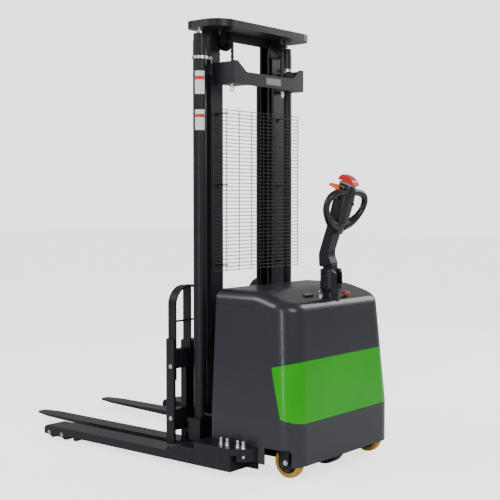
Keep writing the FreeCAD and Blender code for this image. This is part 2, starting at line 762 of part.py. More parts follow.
def backrest():
    """The left hoop: a flat bar bent over the top, with a middle post and a thin tie."""
    y = (end_plate_front_y + 1, end_plate_front_y + 1 + end_plate_depth - 2)
    outside = carriage_half - end_plate
    low = upper_bar_z[1] - 150
    inner_low = roller_plate_top_z
    hoop = prism([(outside, low), (outside, hoop_top_z, hoop_radius),
                  (hoop_inner_x, hoop_top_z, hoop_radius),
                  (hoop_inner_x, inner_low), (hoop_inner_x + hoop_bar, inner_low),
                  (hoop_inner_x + hoop_bar, hoop_top_z - hoop_bar, hoop_radius - hoop_bar),
                  (outside - hoop_bar, hoop_top_z - hoop_bar, hoop_radius - hoop_bar), (outside - hoop_bar,
                                                                                        low)],
                 "xz", *y)
    post = box((hoop_post_x - hoop_bar, hoop_post_x), y, (upper_bar_z[1], hoop_top_z - hoop_bar / 2))
    tie = box((hoop_inner_x + 1, outside - 1), (y[0] + 18, y[1] - 18), (hoop_tie_z - 4, hoop_tie_z + 4))
    whole = fuse([hoop, post, tie])
    whole = whole.cut(box((0, outside + 1), (y[0] - 1, bar_y[1]), (0, upper_bar_z[1])))
    hook_room = box((0, outside - 20), (y[0] - 1, bar_y[1] - hook_setback + walk_gap),
                    (0, upper_bar_z[1] + hook_height + 4 * walk_gap))
    return whole.cut(hook_room)


def carriage_bolts():
    """The four bolts that hold the end plates to the hoops and bars."""
    heads = []
    y = end_plate_front_y + end_plate_depth - 14
    for z in (sum(upper_bar_z) / 2 - 33, sum(lower_bar_z) / 2 + 12):
        heads.append(bolt(carriage_half, y, z, X_AXIS, 12.0, 9.0, 7.9, end_plate))
    return pair(heads)


def fork():
    """The left fork: a tapered blade, an upright shank and two hooks over the bars."""
    x = (fork_centre_x - fork_width / 2, fork_centre_x + fork_width / 2)
    tip = fork_heel_y - fork_length
    low = fork_top_z - fork_thickness
    back = fork_heel_y + fork_shank
    hook_z = upper_bar_z[1] + walk_gap
    foot_z = lower_bar_z[0] - walk_gap
    side = [(tip, fork_top_z - fork_tip_thickness, 3), (tip, fork_top_z, 3), (fork_heel_y, fork_top_z, 18),
            (fork_heel_y, hook_z + hook_height, 8), (bar_y[1] - hook_setback, hook_z + hook_height, 8),
            (bar_y[1] - hook_setback, hook_z), (back, hook_z), (back, foot_z), (bar_y[1] - toe_setback,
                                                                                foot_z),
            (bar_y[1] - toe_setback, foot_z - 26, 6),
            (back, foot_z - 32, 10), (back, low, 42), (tip + fork_taper_length, low, 300)]
    blade = prism(side, "yz", *x)
    nose = prism([(x[0] + 22, tip, 26), (x[0], tip + 120, 120), (x[0], back + 60), (x[1], back + 60),
                  (x[1], tip + 120, 120), (x[1] - 22, tip, 26)], "xy", 0, hook_z + 60)
    return blade.common(nose)


# ---- hood ---------------------------------------------------------------------
def plan_section(half, front, rear, radius, z):
    """One level of the hood: straight at the front, with its two rear corners rounded."""
    return outline([(half, front), (half, rear, radius), (-half, rear, radius), (-half, front)], "xy", z)


def body_block(inset):
    """The hood's outer form, made smaller all round by inset: a tapered body with a rounded top edge."""
    front = body_front_y - (10 if inset > 0 else 0)
    rise = (body_top_z + 20 - body_side_break_z) / (body_shoulder_z - body_side_break_z)
    top_half = body_half + (body_top_half - body_half) * rise - inset
    top_rear = body_rear_y + (body_top_rear_y - body_rear_y) * rise - inset
    radius = corner_radius - inset
    low = plan_section(body_half - inset, front, body_rear_y - inset, radius, body_bottom_z - 1)
    middle = plan_section(body_half - inset, front, body_rear_y - inset, radius, body_side_break_z)
    high = plan_section(top_half, front, top_rear, radius, body_top_z + 20)
    body = Part.makeLoft([low, middle, high], True, True)
    side = [(front - 5, body_bottom_z), (front - 5, body_top_z - inset),
            (lid_rear_y + 18, body_top_z - inset, ridge_radius),
            (body_rear_y + 60, dash_height(body_rear_y + 60) - inset), (body_rear_y + 60, body_bottom_z)]
    body = body.common(prism(side, "yz", -body_half - 10, body_half + 10))
    rim = [e for e in body.Edges if is_top_edge(e, front, inset)]
    return body.makeFillet(shoulder_radius - inset, rim)


def is_top_edge(edge, front, inset):
    """Whether an edge runs round the hood's top, other than across its front or its ridge."""
    middle = edge.valueAt((edge.FirstParameter + edge.LastParameter) / 2)
    ends = [vertex.Point for vertex in edge.Vertexes]
    across = all(abs(end.y - ends[0].y) < 1 for end in ends) and middle.y < body_tail_y
    return all(abs(end.z - dash_height(end.y) + inset) < 9 for end in ends) and not across


def panel_band(gap):
    """The band of the hood that the coloured panel covers, wider by gap all round."""
    return prism([(858 - gap, 522 + gap, 8), (body_rear_y + 10, 556 + gap), (body_rear_y + 10, 262 - gap),
                  (916 - gap, 289 - gap, 8)], "yz", -body_half - 10, body_half + 10)


def lid_zone(gap):
    """Where the battery cover lies: the front of the top, above the side seam."""
    return box((-body_half - 10, body_half + 10), (body_front_y - 30, lid_rear_y + gap),
               (lid_seam_z - gap, body_top_z + 20))


def rear_hood():
    """The moulded hood: a shell with a pocket for the panel and openings for the lid and casters."""
    shell = body_block(0).cut(body_block(hood_wall))
    shell = shell.cut(body_block(0).cut(body_block(skin)).common(panel_band(panel_gap)))
    shell = shell.cut(lid_zone(walk_gap))
    for side in (-1, 1):
        x = sorted((side * arch_inner_x, side * (body_half + 20)))
        shell = shell.cut(box(x, (arch_front_y, arch_rear_y), (body_bottom_z - 10, arch_top_z)))
        x = sorted((side * (body_half - 60), side * (body_half + 20)))
        shell = shell.cut(box(x, (body_front_y - 10, gusset_rear_y - 6),
                              (body_bottom_z - 10, clamp_top_z + 2)))
    shell = shell.cut(rod((0, steer_y, 700), (0, steer_y, 900), collar_radius + 2))
    for x, y, radius in dash_holes():
        shell = shell.cut(rod((x, y, 760), (x, y, 900), radius))
    return biggest(shell)


def biggest(shape):
    return max(shape.Solids, key=lambda s: s.Volume)


def rear_panel():
    """The coloured panel that wraps round the back, as a skin in the hood's pocket."""
    return biggest(body_block(0).cut(body_block(skin)).common(panel_band(0)))


def battery_cover():
    """The lift-off lid over the battery: a shallow cap with a rolled edge."""
    cap = body_block(0).cut(body_block(hood_wall)).common(lid_zone(0))
    lip = box((-body_top_half + 60, body_top_half - 60), (body_front_y - 1, body_front_y - 1 + hood_wall),
              (lid_seam_z, body_top_z - 4))
    return fuse([biggest(cap), lip.common(body_block(0))])


def dash_holes():
    """The dash's holes: (x, y, radius) for the key switch, the emergency stop and the gauge."""
    return [(key_x, key_y, 11.0), (stop_x, stop_y, 12.0)]


key_x = 72.0
key_y = 890.0
stop_x = -105.0
stop_y = 918.0
gauge_x = 133.0
gauge_y = 860.0


def dash_height(y):
    """The height of the hood's top at y: level in front, then sloping down to the back."""
    share = max(0.0, (y - lid_rear_y - 18) / (body_tail_y - lid_rear_y - 18))
    return body_top_z + (body_tail_z - body_top_z) * share


def charge_indicator():
    """A small battery gauge that sits on the dash."""
    z = dash_height(gauge_y)
    slope = math.degrees(math.atan2(body_tail_z - body_top_z, body_tail_y - lid_rear_y - 18))
    body = prism([(-34, -12, 5), (34, -12, 5), (34, 12, 5), (-34, 12, 5)], "xy", 0, 7)
    body.Placement = FreeCAD.Placement(V(gauge_x, gauge_y, z), FreeCAD.Rotation(X_AXIS, slope))
    return body.cut(body_block(0))


# ---- things inside the hood --------------------------------------------------------
battery_half = 350.0
battery_rear_y = 697.0
hose_lane_x = 397.0
hose_port_x = (371.0, 398.0)
port_y = 715.0
port_z = 345.0
port_left_x = -145.0
port_right_x = -250.0


def battery_pack():
    """The traction battery: a steel tray with six cells' tops inside it."""
    x = (-battery_half, battery_half)
    y = (body_front_y + 6, battery_rear_y)
    tray = box(x, y, (deck_z + deck_thickness, 720))
    tray = tray.cut(box((x[0] + 6, x[1] - 6), (y[0] + 6, y[1] - 6), (deck_z + deck_thickness + 6, 721)))
    cells = []
    step = (x[1] - x[0] - 12) / 6
    for k in range(6):
        low = x[0] + 6 + k * step
        cells.append(box((low + 0.5, low + step - 0.5), (y[0] + 6, y[1] - 6),
                         (deck_z + deck_thickness + 6, 690)))
    return Part.makeCompound([tray] + cells)


def hydraulic_power_unit():
    """The pump motor on its side with the oil tank behind it."""
    motor = rod((-365, 776, 262), (-175, 776, 262), 56.0)
    flange = box((-175, -160), (716, 836), (deck_z + deck_thickness, 330))
    tank = box((-160, -100), (722, 762), (deck_z + deck_thickness, 300))
    tank = fuse([tank, box((-365, -235), (746, 860), (330, 520))])
    block = box((port_right_x + 15, port_left_x - 15), (port_y - 11, 810), (port_z - 20, port_z + 35))
    port = rod((port_right_x, port_y, port_z), (port_left_x, port_y, port_z), 9.0)
    return fuse([motor, flange, tank, block, port])


def motor_controller():
    """The drive controller: a finned box on the deck, with a terminal block."""
    body = box((180, 372), (730, 808), (deck_z + deck_thickness, 360))
    for k in range(8):
        z = deck_z + deck_thickness + 24 + 20 * k
        body = body.cut(box((179, 373), (798, 809), (z, z + 9)))
    terminals = box((200, 350), (743, 788), (360, 378))
    return fuse([body, terminals])


def hose_route(side):
    """The way of a lift hose: back through the bulkhead, along the battery, then across to its port."""
    x = cylinder_x + 13
    y = cylinder_y + cylinder_radius + 14
    z = cylinder_bottom_z + 22
    lane_x = hose_lane_x
    port_x = port_right_x if side < 0 else port_left_x
    start = [(side * x, y, z), (side * (x + 8), y + 29.5, z), (side * lane_x, body_front_y + 60, z + 12)]
    return start + [(side * lane_x, port_y, port_z), (port_x, port_y, port_z)]


def lift_hoses():
    """The two hydraulic hoses between the power unit's ports and the cylinders' feet."""
    return Part.makeCompound([hose(hose_route(side), 7.0) for side in (-1, 1)])


# ---- steering, drive and tiller ------------------------------------------------------
axle_y = steer_y - drive_wheel_lead
yoke_x = (drive_wheel_width / 2 + 3, drive_wheel_width / 2 + 15)


def drive_unit():
    """The turning drive unit: neck, fork with two cheeks, flange, motor and steering column."""
    flange_z = bridge_z + 10 + touch_gap
    crown_top = bridge_z - 2
    crown = box((-yoke_x[1], yoke_x[1]), (axle_y - 40, steer_y + 40), (crown_top - 11, crown_top))
    shapes = [crown, rod((0, steer_y, crown_top - 1), (0, steer_y, flange_z + 1), neck_radius),
              rod((0, steer_y, flange_z), (0, steer_y, flange_z + 16), neck_radius + 22),
              rod((0, steer_y, flange_z + 15), (0, steer_y, motor_top_z), motor_radius),
              rod((0, steer_y, motor_top_z - 1), (0, steer_y, collar_z[0]), steer_shaft_radius)]
    for side in (-1, 1):
        x = sorted((side * yoke_x[0], side * yoke_x[1]))
        shapes.append(prism([(axle_y - 40, crown_top - 1), (axle_y - 30, drive_wheel_radius - 30, 28),
                             (axle_y + 30, drive_wheel_radius - 30, 28), (steer_y + 40,
                                                                          crown_top - 1)], "yz", *x))
    whole = fuse(shapes)
    return whole.cut(rod((-80, axle_y, drive_wheel_radius), (80, axle_y, drive_wheel_radius),
                         drive_wheel_bore))


def drive_wheel():
    """The drive wheel with its axle; the tyre's edges are rounded."""
    half = drive_wheel_width / 2
    tyre = rod((-half, axle_y, drive_wheel_radius), (half, axle_y, drive_wheel_radius), drive_wheel_radius)
    tyre = tyre.makeFillet(8.0, [e for e in tyre.Edges if len(e.Vertexes) == 1])
    for side in (-1, 1):
        x = sorted((side * (half + 1), side * (half - 9)))
        tyre = tyre.cut(rod((x[0], axle_y, drive_wheel_radius), (x[1], axle_y, drive_wheel_radius), 66.0))
    axle = rod((-yoke_x[1], axle_y, drive_wheel_radius), (yoke_x[1], axle_y, drive_wheel_radius),
               drive_wheel_bore - shaft_gap)
    return fuse([tyre, axle])


def tiller_turret():
    """The turret on the steering column: a collar, a flared base and two cheeks for the tilt pin."""
    collar = rod((0, steer_y, collar_z[0]), (0, steer_y, collar_z[1]), collar_radius)
    base = Part.makeCone(collar_radius + 5, turret_radius, 26, V(0, steer_y, collar_z[1] - 2))
    barrel = rod((0, steer_y, collar_z[1] + 23), (0, steer_y, turret_top_z), turret_radius)
    slot = box((-arm_tongue / 2 - walk_gap, arm_tongue / 2 + walk_gap),
               (steer_y - turret_radius - 5, steer_y + turret_radius + 5), (collar_z[1] + 44,
                                                                            turret_top_z + 10))
    crown_z = tilt_z - crown_drop
    crown = rod((-60, tilt_y(), crown_z), (60, tilt_y(), crown_z), crown_radius)
    crown = fuse([crown, box((-80, 80), (steer_y - 70, steer_y + 70), (0, crown_z))])
    whole = fuse([collar, base, barrel.common(crown)]).cut(slot)
    return whole.cut(rod((-80, tilt_y(), tilt_z), (80, tilt_y(), tilt_z), tilt_pin_radius))


def tilt_y():
    return steer_y - 4


def tiller_arm():
    """The bent arm: a tongue round the tilt pin, a knee and a straight upper part."""
    y = tilt_y()
    half = arm_tongue / 2
    hub = rod((-half, y, tilt_z), (half, y, tilt_z), 28.0)
    tongue = prism([(y - 28, tilt_z), (y - 34, 990), (y + 24, 990), (y + 28, tilt_z)], "yz", -half, half)
    upper = prism([(y - 48, turret_top_z + 10, 8), (y - 50, 1036, 60), (head_y - 26, head_z + 30, 4),
                   (head_y + 26, head_z + 30, 4), (y + 2, 1036, 60), (y + 30, turret_top_z + 10, 8)],
                  "yz", -arm_width / 2, arm_width / 2)
    for step in range(5):
        tilt = math.radians(tilt_range * step / 4)
        at = (y + crown_drop * math.sin(tilt), tilt_z - crown_drop * math.cos(tilt))
        room = rod((-80, *at), (80, *at), crown_radius + 2 * walk_gap)
        upper = upper.cut(room.cut(box((-half, half), (y - 100, y + 100), (800, 1100))))
    pin = rod((-turret_radius + 8, y, tilt_z), (turret_radius - 8, y, tilt_z), tilt_pin_radius - shaft_gap)
    return fuse([hub, tongue, upper, pin])


def lean(shape):
    """Moves a shape from the head's own frame to its place on the arm."""
    shape = shape.copy()
    turn = FreeCAD.Rotation(X_AXIS, -head_lean)
    shape.Placement = FreeCAD.Placement(V(0, head_y, head_z), turn).multiply(shape.Placement)
    return shape


def tiller_head():
    """The head: a tapered centre block over the arm's end, with a grip loop at each side."""
    side = prism([(-26, -8, 8), (-44, 90, 60), (-44, 222, 14), (-30, 240, 10), (30, 232, 14), (44, 190, 20),
                  (46, 60, 40), (30, -8, 8)], "yz", -60, 60)
    front = prism([(-32, -8, 8), (-46, 80, 40), (-46, 190, 20), (-34, 242, 10), (34, 242, 10), (46, 190, 20),
                   (46, 80, 40), (32, -8, 8)], "xz", -60, 60)
    grip = prism([(30, 12), (95, 30, 40), (head_half - 2, 100, 26), (head_half, 165, 34), (95, 216, 44),
                  (30, 214)],
                 "xz", grip_offset - grip_radius, grip_offset + grip_radius)
    grip = grip.cut(prism([(50, 70, 12), (80, 66, 16), (head_half - 34, 116, 14), (head_half - 32, 150, 18),
                           (84, 184, 20), (50, 176, 12)], "xz", -60, 60))
    head = fuse([side.common(front), grip, mirrored(grip)])
    head = head.cut(rod((-80, 0, throttle_z), (80, 0, throttle_z), throttle_shaft + touch_gap))
    for side in (-1, 1):
        head = head.cut(rod((side * 45, 0, throttle_z), (side * 68, 0, throttle_z), throttle_shaft + 5))
    head = head.cut(box((-15, 15), (-13, 13), (218, 250)))
    for x in (-button_x, button_x):
        head = head.cut(rod((x, 60, 150), (x, 24, 150), button_radius + touch_gap))
    return lean(head).cut(tiller_arm())


def thumb_button(side):
    """A round push button on the operator's face of the head."""
    return lean(rod((side * button_x, 27, 150), (side * button_x, 48.5, 150), button_radius))


def throttle_paddle():
    """The butterfly throttle: a shaft across the head with a curved thumb wing at each side."""
    shaft = rod((-52, 0, throttle_z), (52, 0, throttle_z), throttle_shaft)
    wing = prism([(-62, 212, 4), (-58, 226, 4), (-14, 231, 14), (-3, 207), (-3, 186), (-6, 161, 4),
                  (-16, 168, 4),
                  (-13, 192, 8), (-22, 209, 8)], "yz", 50, 66)
    eye = rod((50, 0, throttle_z), (66, 0, throttle_z), throttle_shaft + 4)
    return lean(fuse([shaft, wing, mirrored(wing), eye, mirrored(eye)]))


def reverse_button():
    """The large belly button on top of the head: a wedge with rounded edges on a square stem."""
    cap = prism([(-50, 250, 5), (-32, 278, 8), (4, 277, 30), (38, 262, 20), (54, 240, 4)], "yz", -24, 24)
    stem = box((-14.5, 14.5), (-12.5, 12.5), (224, 252))
    return lean(fuse([cap, stem]))


def caster_yoke():
    """The left caster's swivel yoke with its stem."""
    top = arch_top_z + 4
    stem = rod((caster_x, caster_y, top - 1), (caster_x, caster_y, deck_z + deck_thickness - 1),
               caster_stem_radius - shaft_gap)
    head = rod((caster_x, caster_y, top - 6), (caster_x, caster_y, deck_z - touch_gap), 40.0)
    shapes = [stem, head]
    axle_y = caster_y + caster_trail
    for side in (-1, 1):
        x = sorted((caster_x + side * (caster_width / 2 + 3),
                    caster_x + side * (caster_width / 2 + 3 + yoke_plate)))
        shapes.append(prism([(caster_y - 34, top), (caster_y - 34, top - 20, 14),
                             (axle_y - 16, caster_radius - 18, 16),
                             (axle_y + 18, caster_radius - 18, 16), (caster_y + 40, top)], "yz", *x))
    bridge = box((caster_x - caster_width / 2 - 9, caster_x + caster_width / 2 + 9),
                 (caster_y - 34, caster_y + 36), (2 * caster_radius - 4, top + 2))
    room = caster_width / 2 + 2
    shapes.append(bridge)
    yoke = fuse(shapes).cut(rod((caster_x - room, axle_y, caster_radius),
                                (caster_x + room, axle_y, caster_radius),
                                caster_radius + 2))
    return yoke.cut(rod((caster_x - 80, axle_y, caster_radius), (caster_x + 80, axle_y, caster_radius),
                        caster_bore))


def caster_wheel():
    """The left caster's wheel with its axle bolt."""
    y = caster_y + caster_trail
    half = caster_width / 2
    wheel = rod((caster_x - half, y, caster_radius), (caster_x + half, y, caster_radius), caster_radius)
    wheel = wheel.makeFillet(9.0, [e for e in wheel.Edges if len(e.Vertexes) == 1])
    for side in (-1, 1):
        x = sorted((caster_x + side * (half + 1), caster_x + side * (half - 10)))
        wheel = wheel.cut(rod((x[0], y, caster_radius), (x[1], y, caster_radius), 50.0).cut(
            rod((x[0], y, caster_radius), (x[1], y, caster_radius), 20.0)))
    reach = half + 3 + yoke_plate + 8
    axle = rod((caster_x - reach, y, caster_radius), (caster_x + reach, y, caster_radius),
               caster_bore - shaft_gap)
    heads = [bolt(caster_x + side * (half + 3 + yoke_plate + touch_gap), y, caster_radius, X_AXIS * side,
                  11.0, 7.0,
                  5.0, 0) for side in (-1, 1)]
    return fuse([wheel, axle] + heads)


def stop_button():
    """The emergency stop: a mushroom on a stem."""
    z = dash_height(stop_y)
    stem = rod((stop_x, stop_y, z - 22), (stop_x, stop_y, z + 14), 8.0)
    head = rod((stop_x, stop_y, z + 13), (stop_x, stop_y, z + 26), 19.0)
    rim = [e for e in head.Edges if len(e.Vertexes) == 1 and e.CenterOfMass.z > z + 20]
    head = head.makeFillet(6.0, rim)
    return fuse([stem, head])


def stop_collar():
    """The collar of the emergency stop, under its mushroom."""
    z = dash_height(stop_y)
    ring = rod((stop_x, stop_y, z - 20), (stop_x, stop_y, z + 6), 12.0)
    return ring.cut(rod((stop_x, stop_y, z - 30), (stop_x, stop_y, z + 20), 8.0 + shaft_gap))


def key_switch():
    """The fixed barrel and bezel of the key switch."""
    z = dash_height(key_y)
    barrel = rod((key_x, key_y, z - 24), (key_x, key_y, z + 7), 11.0 - shaft_gap)
    bezel = rod((key_x, key_y, z + 5), (key_x, key_y, z + 10), 14.0)
    return fuse([barrel, bezel]).cut(rod((key_x, key_y, z - 10), (key_x, key_y, z + 10), 4.0 + shaft_gap))


def ignition_key():
    """The key: a round shank and a flat bow."""
    z = dash_height(key_y)
    shank = rod((key_x, key_y, z - 8), (key_x, key_y, z + 16), 4.0)
    bow = prism([(key_x - 10, z + 14, 4), (key_x + 10, z + 14, 4), (key_x + 12, z + 34, 8),
                 (key_x - 12, z + 34, 8)],
                "xz", key_y - 1.5, key_y + 1.5)
    return fuse([shank, bow])


# ---- all nodes -------------------------------------------------------------------
def build():
    leg = straddle_leg()
    parts["base_frame"] = base_frame()
    parts["straddle_leg_left"] = leg
    parts["straddle_leg_right"] = mirrored(leg)
    parts["leg_clamp_bolts"] = leg_clamp_bolts()
    parts["load_roller_axles"] = load_roller_axles()
    for (y, z), end in zip(load_roller_places(), ("front", "rear")):
        wheel = load_roller(y, z)
        parts["load_roller_" + end + "_left"] = wheel
        parts["load_roller_" + end + "_right"] = mirrored(wheel)
    for name, shape in (("outer_mast", outer_mast()), ("sheave", sheave()), ("piston_rod", piston_rod()),
                        ("lift_cylinder", lift_cylinder()), ("backrest", backrest()), ("fork", fork()),
                        ("caster_yoke", caster_yoke()), ("caster_wheel", caster_wheel())):
        parts[name + "_left"] = shape
        parts[name + "_right"] = mirrored(shape)
    parts["mast_crossbeam"] = mast_crossbeam()
    parts["mast_guide_pads"] = mast_guide_pads()
    parts["mast_rollers"] = mast_rollers()
    parts["mast_top_plate"] = mast_top_plate()
    parts["inner_mast"] = inner_mast()
    parts["cylinder_clamps"] = cylinder_clamps()
    parts["chain_anchor_bolts"] = chain_anchor_bolts()
    parts["chain_rear"] = chain_rear()
    parts["chain_front"] = chain_front()
    parts["wire_guard"] = wire_guard()
    parts["carriage_frame"] = carriage_frame()
    parts["carriage_rollers_lower"] = carriage_rollers(carriage_roller_z[0])
    parts["carriage_rollers_upper"] = carriage_rollers(carriage_roller_z[1])
    parts["carriage_bolts"] = carriage_bolts()
    parts["rear_hood"] = rear_hood()
    parts["rear_panel"] = rear_panel()
    parts["battery_cover"] = battery_cover()
    parts["charge_indicator"] = charge_indicator()
    parts["battery_pack"] = battery_pack()
    parts["hydraulic_power_unit"] = hydraulic_power_unit()
    parts["motor_controller"] = motor_controller()
    parts["lift_hoses"] = lift_hoses()
    parts["drive_unit"] = drive_unit()
    parts["drive_wheel"] = drive_wheel()
    parts["tiller_turret"] = tiller_turret()
    parts["tiller_arm"] = tiller_arm()
    parts["tiller_head"] = tiller_head()
    parts["lift_button"] = thumb_button(1)
    parts["lower_button"] = thumb_button(-1)
    parts["throttle_paddle"] = throttle_paddle()
    parts["reverse_button"] = reverse_button()
    parts["key_switch"] = key_switch()
    parts["stop_collar"] = stop_collar()
    parts["stop_button"] = stop_button()
    parts["ignition_key"] = ignition_key()


def solids_of(name):
    """How many solids a node should have."""
    return {"leg_clamp_bolts": 8, "load_roller_axles": 4, "mast_guide_pads": 4, "mast_rollers": 2,
            "cylinder_clamps": 2, "chain_anchor_bolts": 2, "chain_rear": 2, "chain_front": 2,
            "carriage_rollers_lower": 2, "carriage_rollers_upper": 2, "carriage_bolts": 4,
            "battery_pack": 7, "lift_hoses": 2}.get(name, 1)


build()
os.makedirs("parts", exist_ok=True)
for name in sorted(parts):
    shape = parts[name].copy()
    shape.translate(V(0, datum_y, 0))
    parts[name] = shape
    if not shape.isValid():
        print("not valid:", name)
    if len(shape.Solids) != solids_of(name):
        print("solids:", name, len(shape.Solids))
    shape.exportStep("parts/" + name + ".step")
whole = Part.makeCompound(list(parts.values()))
size = whole.BoundBox
print(len(parts), "nodes,", sum(len(s.Solids) for s in parts.values()), "solids")
print("x", round(size.XMin, 1), round(size.XMax, 1), "y", round(size.YMin, 1), round(size.YMax, 1),
      "z", round(size.ZMin, 2), round(size.ZMax, 1))
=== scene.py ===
import bmesh
import bpy
import json
import math
from mathutils import Matrix, Vector


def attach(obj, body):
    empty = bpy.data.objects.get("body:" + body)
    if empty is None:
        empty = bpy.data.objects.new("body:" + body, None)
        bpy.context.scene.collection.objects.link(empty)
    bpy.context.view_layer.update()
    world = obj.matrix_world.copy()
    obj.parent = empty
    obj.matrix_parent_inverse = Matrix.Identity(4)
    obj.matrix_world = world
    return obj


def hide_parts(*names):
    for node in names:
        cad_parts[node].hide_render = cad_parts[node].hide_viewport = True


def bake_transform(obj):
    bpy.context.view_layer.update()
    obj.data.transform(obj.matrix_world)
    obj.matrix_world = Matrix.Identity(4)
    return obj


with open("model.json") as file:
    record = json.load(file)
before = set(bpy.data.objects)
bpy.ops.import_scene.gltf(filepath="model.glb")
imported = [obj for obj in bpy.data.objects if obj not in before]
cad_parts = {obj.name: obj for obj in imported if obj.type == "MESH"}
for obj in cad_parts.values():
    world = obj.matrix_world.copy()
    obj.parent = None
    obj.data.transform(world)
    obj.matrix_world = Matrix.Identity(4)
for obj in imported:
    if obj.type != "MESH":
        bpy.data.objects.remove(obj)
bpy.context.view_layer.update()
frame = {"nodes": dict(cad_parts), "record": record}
print("frame loaded:", len(frame["nodes"]), "nodes")


# shader helpers
def addNode(tree, kind, **settings):
    made = tree.nodes.new(kind)
    for key, value in settings.items():
        setattr(made, key, value)
    return made


def feed(tree, source, target):
    tree.links.new(source, target)


def rgba(colour):
    return (colour[0], colour[1], colour[2], 1.0)


def startGroup(name, inputs, outputs):
    group = bpy.data.node_groups.new(name, "ShaderNodeTree")
    for label, kind in inputs:
        group.interface.new_socket(name=label, in_out="INPUT", socket_type=kind)
    for label, kind in outputs:
        group.interface.new_socket(name=label, in_out="OUTPUT", socket_type=kind)
    return group, addNode(group, "NodeGroupInput"), addNode(group, "NodeGroupOutput")


def buildSurfaceGroup():
    # cloudy tint, fine grain, soft scuffs and a matching bump
    group, given, result = startGroup(
        "grainedSurface",
        [("base", "NodeSocketColor"), ("worn", "NodeSocketColor")]
        + [(label, "NodeSocketFloat") for label in ("grainScale", "wear", "roughLow", "roughHigh", "bump")],
        [("color", "NodeSocketColor"), ("roughness", "NodeSocketFloat"),
         ("normal", "NodeSocketVector")])
    place = addNode(group, "ShaderNodeTexCoord")
    cloud = addNode(group, "ShaderNodeTexNoise")
    cloud.inputs["Scale"].default_value = 3.1
    cloud.inputs["Detail"].default_value = 2.0
    grain = addNode(group, "ShaderNodeTexNoise")
    grain.inputs["Detail"].default_value = 4.0
    stretch = addNode(group, "ShaderNodeMapping")
    stretch.inputs["Scale"].default_value = (1.0, 1.0, 0.09)
    scuff = addNode(group, "ShaderNodeTexNoise")
    scuff.inputs["Scale"].default_value = 46.0
    scuff.inputs["Detail"].default_value = 6.0
    scuff.inputs["Roughness"].default_value = 0.72
    for texture in (cloud, grain):
        feed(group, place.outputs["Object"], texture.inputs["Vector"])
    feed(group, place.outputs["Object"], stretch.inputs["Vector"])
    feed(group, stretch.outputs["Vector"], scuff.inputs["Vector"])
    feed(group, given.outputs["grainScale"], grain.inputs["Scale"])
    scuffMask = addNode(group, "ShaderNodeMapRange")
    scuffMask.inputs["From Min"].default_value = 0.56
    scuffMask.inputs["From Max"].default_value = 0.74
    feed(group, scuff.outputs["Fac"], scuffMask.inputs["Value"])
    scuffAmount = addNode(group, "ShaderNodeMath", operation="MULTIPLY")
    feed(group, scuffMask.outputs["Result"], scuffAmount.inputs[0])
    feed(group, given.outputs["wear"], scuffAmount.inputs[1])
    shade = addNode(group, "ShaderNodeMapRange")
    shade.inputs["To Min"].default_value = 0.86
    shade.inputs["To Max"].default_value = 1.14
    feed(group, cloud.outputs["Fac"], shade.inputs["Value"])
    tinted = addNode(group, "ShaderNodeVectorMath", operation="SCALE")
    feed(group, given.outputs["base"], tinted.inputs[0])
    feed(group, shade.outputs["Result"], tinted.inputs["Scale"])
    mixed = addNode(group, "ShaderNodeMix", data_type="RGBA")
    feed(group, scuffAmount.outputs[0], mixed.inputs[0])
    feed(group, tinted.outputs["Vector"], mixed.inputs[6])
    feed(group, given.outputs["worn"], mixed.inputs[7])
    feed(group, mixed.outputs[2], result.inputs["color"])
    rough = addNode(group, "ShaderNodeMapRange")
    rough.inputs["From Min"].default_value = 0.15
    rough.inputs["From Max"].default_value = 0.85
    feed(group, cloud.outputs["Fac"], rough.inputs["Value"])
    feed(group, given.outputs["roughLow"], rough.inputs["To Min"])
    feed(group, given.outputs["roughHigh"], rough.inputs["To Max"])
    rougher = addNode(group, "ShaderNodeMath", operation="MULTIPLY_ADD")
    rougher.inputs[1].default_value = 0.25
    feed(group, scuffAmount.outputs[0], rougher.inputs[0])
    feed(group, rough.outputs["Result"], rougher.inputs[2])
    feed(group, rougher.outputs[0], result.inputs["roughness"])
    relief = addNode(group, "ShaderNodeBump")
    relief.inputs["Distance"].default_value = 0.0004
    feed(group, given.outputs["bump"], relief.inputs["Strength"])
    feed(group, grain.outputs["Fac"], relief.inputs["Height"])
    feed(group, relief.outputs["Normal"], result.inputs["normal"])
    return group


surfaceGroup = buildSurfaceGroup()


def makeFinish(name, spec):
    material = bpy.data.materials.new(name)
    material.use_nodes = True
    tree = material.node_tree
    shader = tree.nodes["Principled BSDF"]
    surface = addNode(tree, "ShaderNodeGroup", node_tree=surfaceGroup)
    surface.inputs["base"].default_value = rgba(spec["base"])
    surface.inputs["worn"].default_value = rgba(spec["worn"])
    surface.inputs["grainScale"].default_value = spec["grain"]
    surface.inputs["wear"].default_value = spec["wear"]
    surface.inputs["roughLow"].default_value = spec["rough"][0]
    surface.inputs["roughHigh"].default_value = spec["rough"][1]
    surface.inputs["bump"].default_value = spec["bump"]
    feed(tree, surface.outputs["color"], shader.inputs["Base Color"])
    feed(tree, surface.outputs["roughness"], shader.inputs["Roughness"])
    feed(tree, surface.outputs["normal"], shader.inputs["Normal"])
    shader.inputs["Metallic"].default_value = spec.get("metal", 0.0)
    shader.inputs["Coat Weight"].default_value = spec.get("coat", 0.0)
    shader.inputs["Coat Roughness"].default_value = 0.08
    shader.inputs["Specular IOR Level"].default_value = spec.get("specular", 0.5)
    material.diffuse_color = rgba(spec["base"])
    return material


